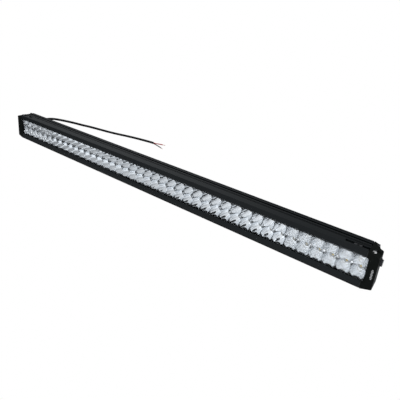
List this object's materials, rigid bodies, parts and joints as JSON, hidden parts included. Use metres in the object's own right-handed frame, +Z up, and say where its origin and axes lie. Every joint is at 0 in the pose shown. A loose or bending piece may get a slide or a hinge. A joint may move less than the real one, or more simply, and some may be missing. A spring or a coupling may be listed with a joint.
{
  "type": "led light bar",
  "caption": "Long double-row LED light bar in a finned black extrusion with end caps, sliding mounting nuts and a two-core supply cable.",
  "frame": {"origin": "centre of the bar's footprint, on the flat underside of the housing", "axes": "+X along the bar to the end with the printed mark, -Y out of the lens, +Z up; +X is right when facing along +Y, seen from in front of the lens"},
  "size_m": [1.134, 0.3068, 0.0764],
  "materials": {
    "black_aluminium": "satin black anodised",
    "black_casting": "satin black powder coat",
    "plain_aluminium": "brushed",
    "clear_lens": "clear polycarbonate, polished",
    "chrome_plated": "vacuum-metallised mirror",
    "led_phosphor": "yellow phosphor",
    "white_board": "white solder mask",
    "green_board": "green solder mask",
    "grey_pad": "matte",
    "white_plastic": "matte",
    "white_print": "printed",
    "black_rubber": "matte",
    "black_plastic": "fine texture",
    "black_steel": "black oxide",
    "plain_steel": "zinc plated",
    "dark_steel": "phosphated steel",
    "stainless": "stainless, satin",
    "cable_jacket": "satin black jacket",
    "red_insulation": "satin",
    "black_insulation": "satin",
    "copper": "bare strands"
  },
  "bodies": {
    "lamp": {"housing": "black_aluminium", "lens": "clear_lens", "lens_gasket": "black_rubber", "led_emitters": "led_phosphor", "thermal_pad": "grey_pad", "board_screws": "plain_steel", "board_links": "white_plastic", "reflector_1": "chrome_plated", "led_board_1": "white_board", "reflector_2": "chrome_plated", "led_board_2": "white_board", "reflector_3": "chrome_plated", "led_board_3": "white_board", "reflector_4": "chrome_plated", "led_board_4": "white_board", "reflector_5": "chrome_plated", "led_board_5": "white_board", "reflector_6": "chrome_plated", "led_board_6": "white_board", "reflector_7": "chrome_plated", "led_board_7": "white_board", "end_cap_left": "black_casting", "end_cap_gasket_left": "black_rubber", "end_cap_screws_left": "black_steel", "lens_clamp_left": "plain_aluminium", "lens_clamp_screw_left": "black_steel", "side_bolt_left": "black_steel", "side_washer_left": "black_steel", "driver_board_left": "green_board", "end_cap_right": "black_casting", "end_cap_gasket_right": "black_rubber", "end_cap_screws_right": "black_steel", "lens_clamp_right": "plain_aluminium", "lens_clamp_screw_right": "stainless", "side_bolt_right": "black_steel", "side_washer_right": "black_steel", "driver_board_right": "green_board", "cap_badge": "white_print", "vent_plug": "black_plastic", "internal_leads": "red_insulation", "gland_body": "black_plastic", "gland_seal": "black_rubber", "gland_nut": "black_plastic", "power_cable": "cable_jacket", "red_core": "red_insulation", "black_core": "black_insulation", "red_core_copper": "copper", "black_core_copper": "copper"},
    "left_nut": {"slot_nut_left": "dark_steel"},
    "right_nut": {"slot_nut_right": "dark_steel"}
  },
  "joints": [
    {"name": "left_nut_slide", "type": "slide", "parent": "lamp", "child": "left_nut", "axis": [1, 0, 0], "range_m": [-0.0125, 0.0145]},
    {"name": "right_nut_slide", "type": "slide", "parent": "lamp", "child": "right_nut", "axis": [1, 0, 0], "range_m": [-0.0145, 0.0125]}
  ]
}
